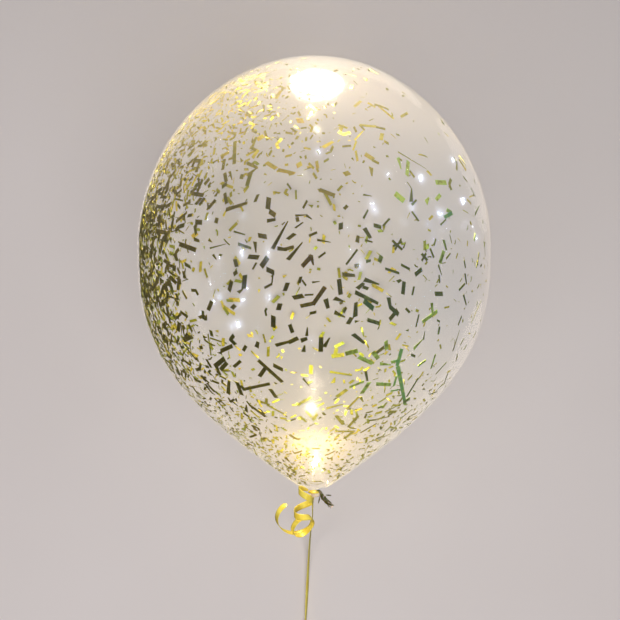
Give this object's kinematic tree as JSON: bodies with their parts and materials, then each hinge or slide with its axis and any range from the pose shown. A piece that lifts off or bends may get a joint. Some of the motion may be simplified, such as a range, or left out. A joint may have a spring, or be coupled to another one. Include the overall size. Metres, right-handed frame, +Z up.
{
  "type": "glitter balloon",
  "caption": "Clear teardrop latex balloon with loose gold foil shreds sealed inside, tied neck, curled ribbon end and a long ribbon with a finger loop; it lies on its side.",
  "frame": {"origin": "on the floor under the middle of the balloon's box, measured without the loose ribbon, its curled end and its loop", "axes": "+Y along the balloon's axis towards its crown, -Y towards the tied neck and along the loose ribbon, +Z up, away from the floor"},
  "size_m": [0.28, 0.5407, 0.278],
  "materials": {
    "latex": "clear, glossy, faintly milky latex film",
    "ribbon": "satin golden yellow curling ribbon with fine lengthwise ribs",
    "foil": "metallised gold film, cut into narrow shreds"
  },
  "bodies": {
    "root": {"balloon": "latex", "ribbon_tie": "ribbon", "ribbon_curl": "ribbon", "ribbon_tether": "ribbon", "ribbon_end_knot": "ribbon", "ribbon_loop": "ribbon"}
  },
  "joints": []
}
